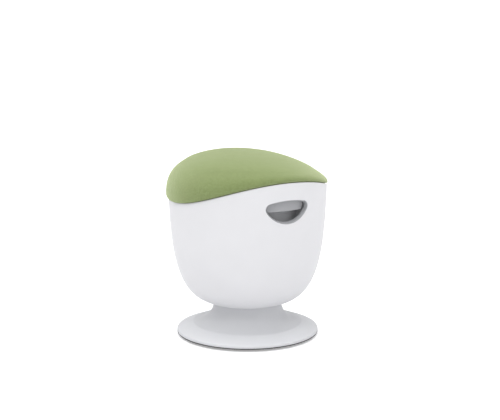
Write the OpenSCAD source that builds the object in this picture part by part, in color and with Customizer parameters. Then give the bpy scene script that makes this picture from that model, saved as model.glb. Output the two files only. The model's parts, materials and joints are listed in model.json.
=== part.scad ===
// Rocking stool with gas lift: a cup-shaped shell carries a padded saddle seat and telescopes over
// the neck of a weighted base, which stands on a domed rubber sole. Drawn at its lowest setting.
// +X is the sitter's right, where the hand-hold and its lever are, and +Y is the front.

/* [Seat shell] */
// Radius of the shell at its rim
seat_r = 186.2; // [182:0.1:190]
// Height of the highest part of the rim
crest_z = 387.4; // [385:0.1:395]
// How far the rim's highest part lies in front of the axis
crest_y = 19.4; // [10:0.1:25]
// Radius of the saddle curve that the rim, the pan and the foam follow from front to back
saddle_r = 386.8; // [380:0.1:500]
// Height of the shell's underside
shell_foot = 76.5; // [70:0.5:80]
// Narrowing of the shell's side for each millimetre down
shell_draft = 0.039; // [0:0.001:0.05]
// Sharpness of the turn from side to underside, along the height
turn_height = 3.73; // [3:0.01:5]
// Sharpness of the same turn, along the radius
turn_radius = 4.35; // [3.5:0.01:5]
// Wall of the shell and of the base cover
wall = 3; // [2.5:0.1:3.5]
// Radius of the opening under the shell, round the neck
shell_hole_r = 84; // [82:0.5:88]

/* [Hand-hold] */
// Direction of the hand-hold, turned from +X towards +Y
grip_dir = 6.2; // [0:0.1:10]
// Lowest point of the hand-hold
grip_low = 300.4; // [299:0.1:303]
// Radius of its round lower edge
grip_low_r = 55.6; // [54:0.1:56]
// Highest point of the hand-hold
grip_high = 342.5; // [341:0.5:344]
// Radius of its gently arched upper edge
grip_high_r = 190; // [150:5:400]
// Room left round it for the grey bezel
bezel_w = 6; // [5.5:0.1:6.5]
// Depth of the bezel's sleeve behind the shell's face
bezel_depth = 9.4; // [6:0.2:9.4]

/* [Cushion] */
// Height of the cushion over the lift axis
pad_top = 435; // [430:0.1:440]
// Even part of the fall of the cushion's top from the middle to the front edge
pad_slope = 8.8; // [6:0.1:10]
// Part of that fall that grows with the cube of the distance
pad_dip = 7.7; // [4:0.1:10]
// Rounding of the top from front to back
pad_crown_y = 36.7; // [30:0.1:40]
// Rounding of the top from side to side
pad_crown_x = 20; // [15:1:25]
// Squareness of the shoulder, along the radius
shoulder_r = 2.8; // [2.2:0.05:3.2]
// Squareness of the shoulder, along the height
shoulder_z = 2.85; // [2.2:0.05:3.2]
// Bulge of the cushion past the rim at the back
bulge_back = 4.6; // [1:0.1:6]
// Bulge of the cushion past the rim at the front
bulge_front = 1; // [0.5:0.1:3]
// Height of the widest line above the rim
bulge_z = 6; // [5:0.5:8]
// Thickness of the fabric
fabric = 1.2; // [1:0.1:1.5]
// Thickness of the plywood pan
pan_t = 10; // [9:0.5:12]

/* [Base] */
// Radius of the base
base_r = 166; // [160:0.5:180]
// Height of the lower edge of the base cover
base_edge_z = 8; // [7:0.5:10]
// Radius of the crease between the rim and the trumpet
crease_r = 127; // [120:0.5:135]
// Height of the crease
crease_z = 29; // [27:0.5:32]
// Radius of the trumpet's hollow curve
flare_r = 47; // [44:0.5:52]
// Height of the neck sleeve's top, inside the shell
neck_top = 246; // [240:1:270]
// Radius of the flat in the middle of the sole
land_r = 60; // [40:1:80]
// Height of the sole's lower edge, which sets how far the stool leans
sole_edge_z = 5.5; // [3:0.5:6]

/* [Gas lift] */
// Radius of the gas cylinder
cylinder_r = 14; // [14:0.5:14]
// Radius of the piston rod
rod_r = 5; // [5:0.5:5]
// Radial play of every sliding or turning fit
play = 0.05; // [0.03:0.01:0.1]
// Height of the mounting plate's underside
plate_z = 346; // [346:0.5:347]

/* [Hidden] */
$fn = 96;

shell_ref_z = crest_z - 0.4;
saddle_z = crest_z - saddle_r;
gap = 0.3;

// Base
sole_top_z = base_edge_z + 4;
sole_arc_r = (pow(base_r - 2 - land_r, 2) + pow(sole_edge_z, 2)) / (2 * sole_edge_z);
rim_round = 5;
plate_r = 135;
plate_top_z = sole_top_z + 8;
weight_r = 95;
weight_top_z = plate_top_z + 7;
cover_screw_r = 118;
socket_bolt_r = 48;
socket_top_z = 86;

// Column and gas lift
tube_r = 25;
tube_foot_r = 24.2;
tube_low_z = weight_top_z;
tube_top_z = 296;
tube_plate_t = 4;
bush_low_z = 216;
race_z = tube_low_z + tube_plate_t;
race_t = 2.2;
ball_r = 2.35;
ball_ring_r = 11;
ball_z = race_z + race_t + play + ball_r;
upper_race_z = ball_z + ball_r + play;
buffer_z = upper_race_z + race_t;
cylinder_low_z = 62;
cylinder_top_z = 343;
taper_low_z = 308;
taper_top_r = 13.2;
bore_r = 11.5;
piston_z = 270;
valve_z = 292;
pin_r = 3;
pin_top_z = 351.1;

// Seat mounting
plate_t = 4;
plate_half = 84;
rail_in_x = 52;
rail_in_y = 56;
bolt_x = 68;
bolt_y = 70;
pan_r = 178.4;
ledge_drop = pan_t + 2;
ledge_in_r = 168;
hem_r = 158;
pan_screw_r = 150;
lug_half = 9;

// Lever, in a frame turned to the hand-hold
pivot_x = 22;
pivot_z = 357;
paddle_out_r = 170;
paddle_in_r = 162;
paddle_half = 17.2;
paddle_low_z = 321;
paddle_high_z = 346;
bezel_r = 181.9;
cup_in_r = 144;
cup_out_r = 178.2;
cup_half = 20.5;
cup_wall = 2.5;
cup_low_z = 285.5;
cup_high_z = 346;

// Cushion mesh
ring_steps = 48;
dome_angles = [82, 74, 66, 58, 50, 42, 34, 26, 18, 10, 4, 0];
tuck_angles = [30, 60, 90];
rim_mid_r = 185;

// Points of an arc
function arc(c, r, from, to, n) =
    [for (i = [0:n]) let (a = from + (to - from) * i / n) c + r * [cos(a), sin(a)]];

// Shell radius at height z for a body of radius r with its foot at height foot:
// a drafted cylinder whose underside closes as a superellipse
function shell_at(z, r, foot) =
    (r - shell_draft * (shell_ref_z - z))
    * pow(1 - pow(max(0, shell_ref_z - z) / (shell_ref_z - foot), turn_height), 1 / turn_radius);

// Height of the saddle cylinder at y, or of the one `drop` inside it
function saddle(y, drop = 0) = saddle_z + sqrt(pow(saddle_r - drop, 2) - pow(y - crest_y, 2));

// Cushion surface: direction t round the axis, angle a from widest line (0) to top (90), `inset` in
function widest(t) =
    rim_mid_r + (bulge_back + bulge_front) / 2 + (bulge_front - bulge_back) / 2 * sin(t);
function pad_height(x, y) =
    pad_top - pad_slope * y / rim_mid_r - pad_dip * pow(y / rim_mid_r, 3)
    - pad_crown_y * pow(y / rim_mid_r, 2) - pad_crown_x * pow(x / rim_mid_r, 2);
function dome(t, a, inset) =
    let (r = (widest(t) - inset) * pow(cos(a), 2 / shoulder_r),
         x = r * cos(t),
         y = r * sin(t),
         low = saddle(y) + bulge_z - inset)
    [x, y, low + (pad_height(x, y) - inset - low) * pow(sin(a), 2 / shoulder_z)];

// Under the widest line the surface tucks in to radius r, `lift` above the rim
function tuck(t, b, inset, r, lift) =
    let (q = r + (widest(t) - inset - r) * cos(b),
         y = q * sin(t))
    [q * cos(t), y, saddle(y) + lift + (bulge_z - inset - lift) * (1 - sin(b))];

// Point at radius r on the saddle surface `drop` inside the rim's
function on_saddle(t, r, drop) = [r * cos(t), r * sin(t), saddle(r * sin(t), drop)];

function ring_angles() = [for (j = [0:ring_steps - 1]) 360 * j / ring_steps];

// Closed solid through a top pole, a list of rings and a bottom pole
module ringed_solid(top, rings, bottom) {
    n = ring_steps;
    m = len(rings);
    points = concat([top], [for (ring = rings) each ring], [bottom]);
    top_fan = [for (j = [0:n - 1]) [0, 1 + (j + 1) % n, 1 + j]];
    sides = [for (i = [0:m - 2], j = [0:n - 1])
        let (a = 1 + i * n + j,
             b = 1 + i * n + (j + 1) % n)
        each [[a, b, b + n], [a, b + n, a + n]]];
    bottom_fan = [for (j = [0:n - 1]) [1 + (m - 1) * n + j, 1 + (m - 1) * n + (j + 1) % n, m * n + 1]];
    polyhedron(points, concat(top_fan, sides, bottom_fan));
}

module tube(r_out, r_in, low, high) {
    translate([0, 0, low])
        difference() {
            cylinder(r = r_out, h = high - low);
            translate([0, 0, -1])
                cylinder(r = r_in, h = high - low + 2);
        }
}

// Cylinder along X of the saddle's radius less `drop`, wide enough to cut the whole seat
module saddle_cylinder(drop) {
    translate([-250, crest_y, saddle_z])
        rotate([0, 90, 0])
            cylinder(r = saddle_r - drop, h = 500, $fn = 180);
}

module saddle_slab(high_drop, low_drop) {
    difference() {
        saddle_cylinder(high_drop);
        saddle_cylinder(low_drop);
    }
}

// Stands its children on the saddle surface at x, y, square to it
module stand_on_saddle(x, y, drop) {
    translate([x, crest_y, saddle_z])
        rotate([-asin((y - crest_y) / saddle_r), 0, 0])
            translate([0, 0, saddle_r - drop])
                children();
}

module round_about(count, r, start = 0) {
    for (i = [0:count - 1])
        rotate([0, 0, start + 360 * i / count])
            translate([r, 0, 0])
                children();
}

// Pan-head screw: head below z = 0, shank above
module screw(head_r, head_h, shank_r, shank_h) {
    translate([0, 0, -head_h])
        cylinder(r = head_r, h = head_h);
    cylinder(r = shank_r, h = shank_h);
}

// ---- base ----

module rocker_sole() {
    reach = asin((base_r - 2 - land_r) / sole_arc_r);
    color("#26282a")
        rotate_extrude()
            polygon(concat(
                [[0, 0]],
                arc([land_r, sole_arc_r], sole_arc_r, -90, -90 + reach, 12),
                [[base_r, sole_edge_z + 1], [base_r, base_edge_z], [base_r - wall - gap, base_edge_z],
                 [base_r - wall - gap, sole_top_z], [0, sole_top_z]]));
}

module ballast_plate() {
    color("#4b4f52")
        difference() {
            union() {
                tube(plate_r, 14, sole_top_z, plate_top_z);
                tube(weight_r, 14, plate_top_z - 1, weight_top_z);
            }
            round_about(6, cover_screw_r) {
                translate([0, 0, sole_top_z - 1])
                    cylinder(r = 4.6, h = 4);
                translate([0, 0, sole_top_z])
                    cylinder(r = 2.3, h = 20);
            }
            round_about(4, socket_bolt_r, 45)
                translate([0, 0, sole_top_z + 3])
                    cylinder(r = 4 + gap, h = 20);
        }
}

module base_section(inset, low) {
    corner = base_r - rim_round;
    difference() {
        polygon(concat(
            [[0, low], [base_r - inset, low]],
            arc([corner, base_edge_z + 3], rim_round - inset, 0, 67, 8),
            [[crease_r, crease_z - inset * 1.08], [crease_r, crease_z + flare_r],
             [crease_r - flare_r - inset, crease_z + flare_r],
             [crease_r - flare_r - inset, neck_top + inset], [0, neck_top + inset]]));
        translate([crease_r, crease_z + flare_r])
            circle(r = flare_r + inset, $fn = 120);
    }
}

module base_cover() {
    color("#d9dadb")
        difference() {
            union() {
                rotate_extrude()
                    difference() {
                        base_section(0, base_edge_z);
                        base_section(wall, base_edge_z - 1);
                    }
                round_about(6, cover_screw_r)
                    translate([0, 0, plate_top_z + gap])
                        cylinder(r = 5, h = 7.5);
            }
            round_about(6, cover_screw_r)
                translate([0, 0, plate_top_z])
                    cylinder(r = 2.1, h = 6.5);
        }
}

module base_screws() {
    color("#8d9296")
        round_about(6, cover_screw_r)
            translate([0, 0, sole_top_z + 2.8])
                screw(4.2, 2.5, 2, 10.5);
}

module column_socket() {
    color("#2e3133")
        difference() {
            union() {
                tube(62, 15, weight_top_z, weight_top_z + 5);
                tube(33, 15, weight_top_z, socket_top_z);
            }
            translate([0, 0, weight_top_z])
                cylinder(r1 = tube_foot_r + 0.1, r2 = tube_r + 0.1, h = socket_top_z - weight_top_z + 0.01);
            round_about(4, socket_bolt_r, 45)
                translate([0, 0, weight_top_z - 1])
                    cylinder(r = 4 + gap, h = 10);
        }
}

module socket_bolts() {
    color("#8d9296")
        round_about(4, socket_bolt_r, 45) {
            translate([0, 0, weight_top_z + 5])
                cylinder(r = 6.5, h = 5);
            translate([0, 0, sole_top_z + 3.5])
                cylinder(r = 4, h = weight_top_z - sole_top_z + 2);
        }
}

module stand_tube() {
    color("#1f2122")
        difference() {
            union() {
                translate([0, 0, tube_low_z])
                    cylinder(r1 = tube_foot_r, r2 = tube_r, h = socket_top_z - tube_low_z);
                translate([0, 0, socket_top_z])
                    cylinder(r = tube_r, h = tube_top_z - socket_top_z);
            }
            translate([0, 0, race_z])
                cylinder(r = tube_foot_r - 1.6, h = tube_top_z);
            translate([0, 0, tube_low_z - 1])
                cylinder(r = rod_r + 1, h = 10);
        }
}

module guide_bush() {
    color("#3a3d40")
        difference() {
            union() {
                translate([0, 0, bush_low_z])
                    cylinder(r = tube_foot_r - 1.6 - 0.1, h = tube_top_z - bush_low_z + 1);
                translate([0, 0, tube_top_z])
                    cylinder(r = tube_r, h = 3);
            }
            translate([0, 0, bush_low_z - 1])
                cylinder(r = cylinder_r + play, h = 100);
        }
}

module lower_race() {
    color("#b9bdc0")
        tube(16, rod_r + 1, race_z, race_z + race_t);
}

// ---- piston rod, which turns on the thrust bearing ----

module piston_rod() {
    color("#c9ccd0")
        difference() {
            translate([0, 0, sole_top_z + 7])
                cylinder(r = rod_r, h = piston_z + 18 - sole_top_z - 7);
            tube(rod_r + 1, rod_r - 1, tube_low_z - 4.1, tube_low_z - 1.9);
        }
}

module piston() {
    color("#b58b4a")
        difference() {
            tube(bore_r - play, rod_r + play, piston_z, piston_z + 14);
            tube(bore_r + 1, bore_r - 2, piston_z + 5, piston_z + 9);
        }
}

module piston_seal() {
    color("#1b1b1c")
        translate([0, 0, piston_z + 7])
            rotate_extrude()
                translate([bore_r - 1, 0])
                    square([1.8, 3.4], center = true);
}

module upper_race() {
    color("#b9bdc0")
        tube(16, rod_r + play, upper_race_z, upper_race_z + race_t);
}

module ball_cage() {
    color("#c4a35a")
        difference() {
            tube(ball_ring_r + 4, rod_r + 1.5, ball_z - 0.7, ball_z + 0.7);
            round_about(12, ball_ring_r)
                translate([0, 0, ball_z - 2])
                    cylinder(r = ball_r + 0.1, h = 4, $fn = 32);
        }
}

module thrust_balls() {
    color("#d4d6d8")
        round_about(12, ball_ring_r)
            translate([0, 0, ball_z])
                sphere(r = ball_r, $fn = 32);
}

module rubber_buffer() {
    color("#222324")
        tube(12, rod_r + play, buffer_z, cylinder_low_z - 0.5);
}

module rod_clip() {
    color("#6d7175")
        difference() {
            tube(9, rod_r - 0.9, tube_low_z - 4, tube_low_z - 2);
            translate([0, -3, tube_low_z - 5])
                cube([12, 6, 4]);
        }
}

// ---- seat: gas cylinder and mounting ----

module gas_cylinder() {
    color("#1f2122")
        difference() {
            union() {
                translate([0, 0, cylinder_low_z])
                    cylinder(r = cylinder_r, h = taper_low_z - cylinder_low_z);
                translate([0, 0, taper_low_z])
                    cylinder(r1 = cylinder_r, r2 = taper_top_r, h = cylinder_top_z - taper_low_z);
            }
            translate([0, 0, cylinder_low_z - 1])
                cylinder(r = bore_r, h = cylinder_top_z - 4 - cylinder_low_z + 1);
            translate([0, 0, cylinder_top_z - 5])
                cylinder(r = pin_r + 1, h = 6);
        }
}

module rod_guide() {
    color("#3a3d40")
        tube(bore_r - 0.1, rod_r + play, cylinder_low_z, cylinder_low_z + 16);
}

module valve_body() {
    color("#b58b4a")
        tube(bore_r - 0.1, pin_r + play, valve_z, cylinder_top_z - 4.5);
}

module taper_hub() {
    hub_low_z = taper_low_z + 4;
    slope = (cylinder_r - taper_top_r) / (cylinder_top_z - taper_low_z);
    color("#2e3133")
        difference() {
            translate([0, 0, hub_low_z])
                cylinder(r = 22, h = plate_z - hub_low_z);
            translate([0, 0, hub_low_z - 1])
                cylinder(r1 = cylinder_r - slope * 3 + 0.1,
                         r2 = cylinder_r - slope * (plate_z + 1 - taper_low_z) + 0.1,
                         h = plate_z + 2 - hub_low_z);
        }
}

module mounting_plate() {
    color("#2e3133")
        difference() {
            translate([-plate_half, -plate_half, plate_z])
                cube([2 * plate_half, 2 * plate_half, plate_t]);
            translate([0, 0, plate_z - 1])
                cylinder(r = 9, h = plate_t + 2);
            for (x = [-bolt_x, bolt_x], y = [-bolt_y, bolt_y])
                translate([x, y, plate_z - 1])
                    cylinder(r = 4 + gap, h = plate_t + 2);
        }
}

module seat_support() {
    support_z = plate_z + plate_t;
    color("#33363a")
        difference() {
            intersection() {
                translate([-plate_half, -plate_half - 2, support_z])
                    cube([2 * plate_half, 2 * plate_half + 4, 60]);
                saddle_cylinder(pan_t + 0.1);
            }
            translate([-rail_in_x, -rail_in_y, support_z - 1])
                cube([2 * rail_in_x, 2 * rail_in_y, 62]);
            rotate([0, 0, grip_dir])
                translate([rail_in_x - 12, -11, support_z - 1])
                    cube([60, 22, 21]);
            for (x = [-bolt_x, bolt_x], y = [-bolt_y, bolt_y])
                translate([x, y, support_z - 1])
                    cylinder(r = 4 + gap, h = 60);
        }
}

module plate_bolts() {
    color("#8d9296")
        for (x = [-bolt_x, bolt_x], y = [-bolt_y, bolt_y])
            translate([x, y, plate_z])
                screw(6.5, 5, 4, saddle(y) - 6 - plate_z);
}

module tee_nuts() {
    color("#b9bdc0")
        for (x = [-bolt_x, bolt_x], y = [-bolt_y, bolt_y])
            translate([x, y, 0])
                union() {
                    tube(9, 4 + play, saddle(y) - 5, saddle(y) - 3.6);
                    tube(5, 4 + play, saddle(y) - 8, saddle(y) - 4);
                }
}

module seat_pan() {
    color("#c9a878")
        difference() {
            intersection() {
                cylinder(r = pan_r, h = 500);
                saddle_slab(0, pan_t);
            }
            for (x = [-bolt_x, bolt_x], y = [-bolt_y, bolt_y])
                translate([x, y, saddle(y)]) {
                    translate([0, 0, -20])
                        cylinder(r = 5.2, h = 40);
                    translate([0, 0, -5.1])
                        cylinder(r = 9.3, h = 20);
                }
            for (i = [0:5])
                pan_screw_at(i)
                    cylinder(r = 1.7, h = 7);
        }
}

// ---- seat: cushion ----

module foam_pad() {
    inset = fabric + gap;
    lift = 0.5 + fabric + gap;
    floor_gap = 0.7;
    dome_rings = [for (a = dome_angles) [for (t = ring_angles()) dome(t, a, inset)]];
    tuck_rings = [for (b = tuck_angles) [for (t = ring_angles()) tuck(t, b, inset, pan_r + 3, lift)]];
    floor_rings = [for (r = [pan_r - 1, 150, 120, 90, 60, 30])
        [for (t = ring_angles()) on_saddle(t, r, -floor_gap)]];
    lip_ring = [for (t = ring_angles()) on_saddle(t, pan_r - 0.5, -lift)];
    color("#e8dfc4")
        ringed_solid([0, 0, pad_height(0, 0) - inset],
                     concat(dome_rings, tuck_rings, [lip_ring], floor_rings),
                     [0, 0, saddle(0, -floor_gap)]);
}

module seat_cover() {
    seam_r = rim_mid_r - 0.5;
    edge_r = pan_r + 0.4;
    outer = [for (a = dome_angles) [for (t = ring_angles()) dome(t, a, 0)]];
    outer_tuck = [for (b = tuck_angles) [for (t = ring_angles()) tuck(t, b, 0, seam_r, 0.5)]];
    hem = [for (p = [[edge_r + fabric, -0.5], [edge_r + fabric, pan_t + 0.2 + fabric],
                     [hem_r, pan_t + 0.2 + fabric], [hem_r, pan_t + 0.2],
                     [edge_r, pan_t + 0.2], [edge_r, -0.5 - fabric]])
        [for (t = ring_angles()) on_saddle(t, p[0], p[1])]];
    inner_tuck = [for (b = [90, 60, 30])
        [for (t = ring_angles()) tuck(t, b, fabric, seam_r - fabric, 0.5 + fabric)]];
    inner = [for (i = [len(dome_angles) - 1:-1:0])
        [for (t = ring_angles()) dome(t, dome_angles[i], fabric)]];
    color("#a4bc72")
        ringed_solid([0, 0, pad_height(0, 0)],
                     concat(outer, outer_tuck, hem, inner_tuck, inner),
                     [0, 0, pad_height(0, 0) - fabric]);
}

module cover_staples() {
    staple_r = hem_r + 6;
    color("#b9bdc0")
        for (i = [0:29])
            let (a = i * 12)
                stand_on_saddle(staple_r * cos(a), staple_r * sin(a), pan_t + 0.2 + fabric + 1.4)
                    rotate([0, 0, a])
                        translate([-0.5, -5, 0])
                            cube([1, 10, 0.7]);
}

// ---- seat: shell and hand-hold ----

module shell_section(inset) {
    foot = shell_foot + inset;
    low_share = 0.992;
    depth = (shell_ref_z - foot) * low_share;
    polygon(concat(
        [[0, 400], [seat_r - inset, 400]],
        [for (i = [0:28])
            let (z = shell_ref_z - depth * sin(90 * i / 28))
            [shell_at(z, seat_r - inset, foot), z]],
        [[0, shell_ref_z - depth]]));
}

module grip_outline(grow) {
    intersection() {
        translate([0, grip_low + grip_low_r])
            circle(r = grip_low_r + grow);
        translate([0, grip_high - grip_high_r])
            circle(r = grip_high_r + grow, $fn = 180);
    }
}

module grip_block(grow) {
    rotate([0, 0, grip_dir])
        rotate([90, 0, 90])
            linear_extrude(height = 220)
                grip_outline(grow);
}

module pan_screw_at(i) {
    a = 30 + 60 * i;
    stand_on_saddle(pan_screw_r * cos(a), pan_screw_r * sin(a), ledge_drop)
        children();
}

module shell_wall(inset) {
    rotate_extrude()
        difference() {
            shell_section(0);
            shell_section(inset);
            square([shell_hole_r, 200]);
        }
}

module shell() {
    color("#ededee")
        difference() {
            union() {
                intersection() {
                    shell_wall(wall);
                    saddle_cylinder(0);
                }
                intersection() {
                    tube(seat_r - 3.3, ledge_in_r, 250, 400);
                    saddle_slab(ledge_drop, ledge_drop + wall);
                }
                intersection() {
                    round_about(6, pan_screw_r - lug_half, 30)
                        translate([0, -lug_half, 250])
                            cube([seat_r - 4 - pan_screw_r + lug_half, 2 * lug_half, 150]);
                    saddle_slab(ledge_drop, ledge_drop + wall);
                }
            }
            grip_block(bezel_w);
            for (i = [0:5])
                pan_screw_at(i)
                    translate([0, 0, -10])
                        cylinder(r = 2.3, h = 12);
        }
}

module shell_screws() {
    color("#8d9296")
        for (i = [0:5])
            pan_screw_at(i)
                translate([0, 0, -wall - 0.1])
                    screw(4, 2.2, 1.6, wall + 7);
}

module cup_sector(r_in, r_out, half, low, high) {
    rotate([0, 0, grip_dir - half])
        rotate_extrude(angle = 2 * half)
            translate([r_in, low])
                square([r_out - r_in, high - low]);
}

module grip_bezel() {
    mouth = 2;
    sleeve_wall = 1.8;
    flare = [[wall / 2, 4.6], [wall, 3.2]];
    color("#b0b1b4")
        difference() {
            union() {
                intersection() {
                    shell_wall(wall);
                    grip_block(bezel_w - 0.1);
                }
                intersection() {
                    grip_block(mouth + sleeve_wall);
                    tube(bezel_r, bezel_r - bezel_depth, 280, 360);
                }
            }
            grip_block(mouth);
            for (step = flare)
                intersection() {
                    shell_wall(step[0]);
                    grip_block(step[1]);
                }
        }
}

module hand_cup() {
    color("#7f8184")
        difference() {
            cup_sector(cup_in_r, cup_out_r, cup_half, cup_low_z, cup_high_z);
            cup_sector(cup_in_r + cup_wall, cup_out_r + 20, cup_half - 0.9, cup_low_z + cup_wall, 400);
        }
}

module lever_ears() {
    color("#2e3133")
        rotate([0, 0, grip_dir])
            for (side = [0, 1])
                mirror([0, side, 0])
                    difference() {
                        translate([pivot_x - 10, 7.4, plate_z + plate_t]) {
                            cube([20, 3, 15]);
                            cube([20, 12, 3]);
                        }
                        translate([pivot_x, 0, pivot_z])
                            rotate([-90, 0, 0])
                                cylinder(r = 2.5 + play, h = 20, $fn = 48);
                    }
}

module lever_pin() {
    color("#b9bdc0")
        rotate([0, 0, grip_dir])
            translate([pivot_x, -12, pivot_z])
                rotate([-90, 0, 0]) {
                    cylinder(r = 2.5, h = 24, $fn = 48);
                    cylinder(r = 4, h = 1.4, $fn = 48);
                }
}

// ---- lever ----

module lever_arm() {
    color("#2e3133")
        rotate([0, 0, grip_dir])
            difference() {
                union() {
                    translate([-9, -7, pivot_z - 2.5])
                        cube([paddle_in_r - 1.3 + 9, 14, 5]);
                    translate([pivot_x, -7, pivot_z])
                        rotate([-90, 0, 0])
                            cylinder(r = 6, h = 14);
                    translate([0, 0, pin_top_z + 0.2])
                        cylinder(r1 = 1, r2 = 3.4, h = 4);
                    translate([paddle_in_r - 5.3, -14, paddle_low_z + 5])
                        cube([4, 28, pivot_z + 2.5 - paddle_low_z - 5]);
                }
                translate([pivot_x, -10, pivot_z])
                    rotate([-90, 0, 0])
                        cylinder(r = 2.5 + play, h = 20, $fn = 48);
                paddle_screws_at()
                    cylinder(r = 2.2, h = 10, $fn = 32);
            }
}

module lever_paddle() {
    color("#b4b6b8")
        difference() {
            intersection() {
                cup_sector(paddle_in_r, paddle_out_r, paddle_half, paddle_low_z, paddle_high_z);
                rotate([0, 0, grip_dir])
                    translate([0, 0, grip_low + grip_low_r])
                        rotate([0, 90, 0])
                            cylinder(r = grip_low_r + 0.5, h = 220);
            }
            rotate([0, 0, grip_dir])
                paddle_screws_at()
                    cylinder(r = 1.8, h = 11, $fn = 32);
        }
}

// Places screws behind the paddle, pointing outwards
module paddle_screws_at() {
    for (y = [-9, 9])
        translate([paddle_in_r - 6, y, 337])
            rotate([0, 90, 0])
                children();
}

module paddle_screws() {
    color("#8d9296")
        rotate([0, 0, grip_dir])
            paddle_screws_at()
                translate([0, 0, 0.6])
                    screw(3.6, 2, 1.7, 9.5);
}

module release_pin() {
    color("#c9ccd0")
        translate([0, 0, valve_z + 6])
            cylinder(r = pin_r, h = pin_top_z - valve_z - 6);
}

rocker_sole();
ballast_plate();
base_cover();
base_screws();
column_socket();
socket_bolts();
stand_tube();
guide_bush();
lower_race();
piston_rod();
piston();
piston_seal();
upper_race();
ball_cage();
thrust_balls();
rubber_buffer();
rod_clip();
gas_cylinder();
rod_guide();
valve_body();
taper_hub();
mounting_plate();
seat_support();
plate_bolts();
tee_nuts();
seat_pan();
foam_pad();
seat_cover();
cover_staples();
shell();
shell_screws();
grip_bezel();
hand_cup();
lever_ears();
lever_pin();
lever_arm();
lever_paddle();
paddle_screws();
release_pin();
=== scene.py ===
import json
import math
import bmesh
import bpy
import numpy as np
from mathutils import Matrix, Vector


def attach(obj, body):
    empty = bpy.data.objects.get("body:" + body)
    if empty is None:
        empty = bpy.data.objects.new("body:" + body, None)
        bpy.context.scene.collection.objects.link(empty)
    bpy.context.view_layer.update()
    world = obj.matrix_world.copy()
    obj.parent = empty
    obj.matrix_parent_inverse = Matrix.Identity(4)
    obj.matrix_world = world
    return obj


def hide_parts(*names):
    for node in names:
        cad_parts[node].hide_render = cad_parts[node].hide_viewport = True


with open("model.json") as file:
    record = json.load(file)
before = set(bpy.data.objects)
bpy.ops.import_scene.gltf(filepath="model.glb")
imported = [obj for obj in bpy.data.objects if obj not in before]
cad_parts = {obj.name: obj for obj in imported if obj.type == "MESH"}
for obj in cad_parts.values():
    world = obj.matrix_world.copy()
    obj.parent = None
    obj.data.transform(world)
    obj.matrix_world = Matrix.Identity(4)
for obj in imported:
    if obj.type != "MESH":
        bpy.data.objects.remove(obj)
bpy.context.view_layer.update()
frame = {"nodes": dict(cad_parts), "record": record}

print("frame loaded:", len(frame["nodes"]), "nodes")
scene = bpy.context.scene
mm = 0.001

# small helpers


def linear(hexColour):
    # sRGB hex to linear light
    c = np.array([int(hexColour[i:i + 2], 16) for i in (1, 3, 5)]) / 255
    c = np.where(c <= 0.04045, c / 12.92, ((c + 0.055) / 1.055) ** 2.4)
    return (*c.tolist(), 1.0)


def addNode(tree, kind, settings=None, links=None):
    # a settings key is a property of the node or one of its inputs
    node = tree.nodes.new(kind)
    for key, value in (settings or {}).items():
        if isinstance(key, str) and hasattr(node, key):
            setattr(node, key, value)
        else:
            node.inputs[key].default_value = value
    for key, socket in (links or {}).items():
        tree.links.new(socket, node.inputs[key])
    return node


def ring(count):
    # directions round the lift axis, in radians
    return np.linspace(0, 2 * math.pi, count, endpoint=False)


def arcPoints(centre, radius, start, stop, count):
    # points of a circle between two angles in degrees, as (r, z)
    a = np.radians(np.linspace(start, stop, count))
    return np.stack([centre[0] + radius * np.cos(a), centre[1] + radius * np.sin(a)], -1)


def softCorner(before, corner, after, count):
    # quadratic Bezier across a corner
    t = np.linspace(0, 1, count)[:, None]
    p, q, r = (np.array(v, float) for v in (before, corner, after))
    return (1 - t) ** 2 * p + 2 * t * (1 - t) * q + t ** 2 * r


def evenly(points, count):
    # resamples a closed outline to count points, equal steps of arc length apart
    loop = np.vstack([points, points[:1]])
    s = np.concatenate([[0], np.cumsum(np.linalg.norm(np.diff(loop, axis=0), axis=1))])
    at = np.linspace(0, s[-1], count, endpoint=False)
    return np.stack([np.interp(at, s, loop[:, k]) for k in range(points.shape[1])], -1)


def quadFaces(rows, cols, wrap):
    # corner numbers of every quad of a grid, row by row
    i, j = np.meshgrid(np.arange(rows - 1), np.arange(cols if wrap else cols - 1), indexing="ij")
    a = i * cols + j
    b = i * cols + (j + 1) % cols
    return np.stack([a, b, b + cols, a + cols], -1).reshape(-1, 4)


def pointsOf(mesh):
    co = np.zeros(len(mesh.vertices) * 3)
    mesh.vertices.foreach_get("co", co)
    return co.reshape(-1, 3)


def pieceFromGrids(name, grids, weld=2e-6, keepFaces=None, extra=None):
    # grids: (points [rows, cols, 3], wrap). keepFaces masks a grid's quads by its number,
    # extra holds vectors kept at the points under a name
    points, faces, start = [], [], 0
    for k, (grid, wrap) in enumerate(grids):
        rows, cols = grid.shape[:2]
        f = quadFaces(rows, cols, wrap)
        if keepFaces and k in keepFaces:
            f = f[keepFaces[k].reshape(-1)]
        faces.append(f + start)
        points.append(grid.reshape(-1, 3))
        start += rows * cols
    mesh = bpy.data.meshes.new(name)
    mesh.from_pydata(np.vstack(points).tolist(), [], np.vstack(faces).tolist())
    for key, values in (extra or {}).items():
        layer = mesh.attributes.new(key, "FLOAT_VECTOR", "POINT")
        layer.data.foreach_set("vector", values.astype(np.float32).reshape(-1))
    joined = bmesh.new()
    joined.from_mesh(mesh)
    bmesh.ops.remove_doubles(joined, verts=joined.verts, dist=weld)
    loose = [v for v in joined.verts if not v.link_faces]
    bmesh.ops.delete(joined, geom=loose, context="VERTS")
    bmesh.ops.recalc_face_normals(joined, faces=joined.faces)
    joined.to_mesh(mesh)
    joined.free()
    mesh.polygons.foreach_set("use_smooth", np.ones(len(mesh.polygons), bool))
    piece = bpy.data.objects.new(name, mesh)
    scene.collection.objects.link(piece)
    return piece


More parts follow.
